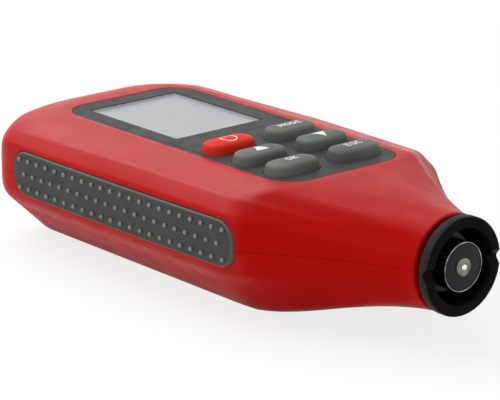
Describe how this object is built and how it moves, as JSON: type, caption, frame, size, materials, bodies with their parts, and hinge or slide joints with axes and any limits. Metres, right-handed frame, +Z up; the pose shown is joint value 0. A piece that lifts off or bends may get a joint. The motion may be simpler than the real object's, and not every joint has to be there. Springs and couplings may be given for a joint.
{
  "type": "coating thickness gauge",
  "caption": "Hand-held coating thickness gauge: a wide two-shell case with rubber side grips, a display and soft keys, and a round nose with a sprung sleeve round the measuring probe.",
  "frame": {"origin": "middle of the outline on the flat back, where the gauge lies on a table", "axes": "+Y from the probe to the tail, +Z up from the back to the keys, +X to the right of someone who looks at the keys with the tail away from them"},
  "size_m": [0.0626, 0.124, 0.0323],
  "materials": {
    "red_plastic": "satin gloss, moulded",
    "grip_rubber": "matt, with raised dots",
    "panel_plastic": "fine matt grain",
    "clear_window": "clear and smooth",
    "lcd_cell": "grey-green display",
    "black_plastic": "matt",
    "white_plastic": "matt",
    "connector_rubber": "matt",
    "red_rubber": "soft satin",
    "key_rubber": "soft satin",
    "steel": "machined",
    "board_laminate": "solder mask",
    "sleeve_plastic": "satin black",
    "plated_steel": "plated and polished",
    "lead_rubber": "matt",
    "cell_can": "satin",
    "contact_metal": "plated"
  },
  "bodies": {
    "gauge": {"front_case": "red_plastic", "rear_case": "red_plastic", "left_grip": "grip_rubber", "right_grip": "grip_rubber", "face_panel": "panel_plastic", "lcd_window": "clear_window", "lcd_glass": "lcd_cell", "lcd_frame": "black_plastic", "lcd_backlight": "white_plastic", "lcd_connector": "connector_rubber", "key_switches": "steel", "keypad_mat": "white_plastic", "circuit_board": "board_laminate", "board_chips": "black_plastic", "board_screws": "steel", "sleeve_spring": "steel", "probe_holder": "white_plastic", "probe_body": "plated_steel", "probe_insert": "black_plastic", "probe_pole": "steel", "probe_tip": "plated_steel", "probe_lead": "lead_rubber", "battery_door": "red_plastic", "door_screw": "steel", "battery_left": "cell_can", "battery_right": "cell_can", "battery_springs": "contact_metal", "battery_plates": "contact_metal", "case_screws": "steel"},
    "power_key": {"power_key": "red_rubber"},
    "mode_key": {"mode_key": "key_rubber"},
    "up_key": {"up_key": "key_rubber"},
    "down_key": {"down_key": "key_rubber"},
    "ok_key": {"ok_key": "key_rubber"},
    "esc_key": {"esc_key": "key_rubber"},
    "sleeve": {"probe_sleeve": "sleeve_plastic"}
  },
  "joints": [
    {"name": "power_key_press", "type": "slide", "parent": "gauge", "child": "power_key", "axis": [0, 0, -1], "range_m": [0, 0.0008], "stiffness_N_per_m": 1500, "springref_m": -0.0004},
    {"name": "mode_key_press", "type": "slide", "parent": "gauge", "child": "mode_key", "axis": [0, 0, -1], "range_m": [0, 0.0008], "stiffness_N_per_m": 1500, "springref_m": -0.0004},
    {"name": "up_key_press", "type": "slide", "parent": "gauge", "child": "up_key", "axis": [0, 0, -1], "range_m": [0, 0.0008], "stiffness_N_per_m": 1500, "springref_m": -0.0004},
    {"name": "down_key_press", "type": "slide", "parent": "gauge", "child": "down_key", "axis": [0, 0, -1], "range_m": [0, 0.0008], "stiffness_N_per_m": 1500, "springref_m": -0.0004},
    {"name": "ok_key_press", "type": "slide", "parent": "gauge", "child": "ok_key", "axis": [0, 0, -1], "range_m": [0, 0.0008], "stiffness_N_per_m": 1500, "springref_m": -0.0004},
    {"name": "esc_key_press", "type": "slide", "parent": "gauge", "child": "esc_key", "axis": [0, 0, -1], "range_m": [0, 0.0008], "stiffness_N_per_m": 1500, "springref_m": -0.0004},
    {"name": "sleeve_press", "type": "slide", "parent": "gauge", "child": "sleeve", "axis": [0, 1, 0], "range_m": [0, 0.0012], "stiffness_N_per_m": 800, "springref_m": -0.001, "deforming": ["sleeve_spring"]}
  ]
}
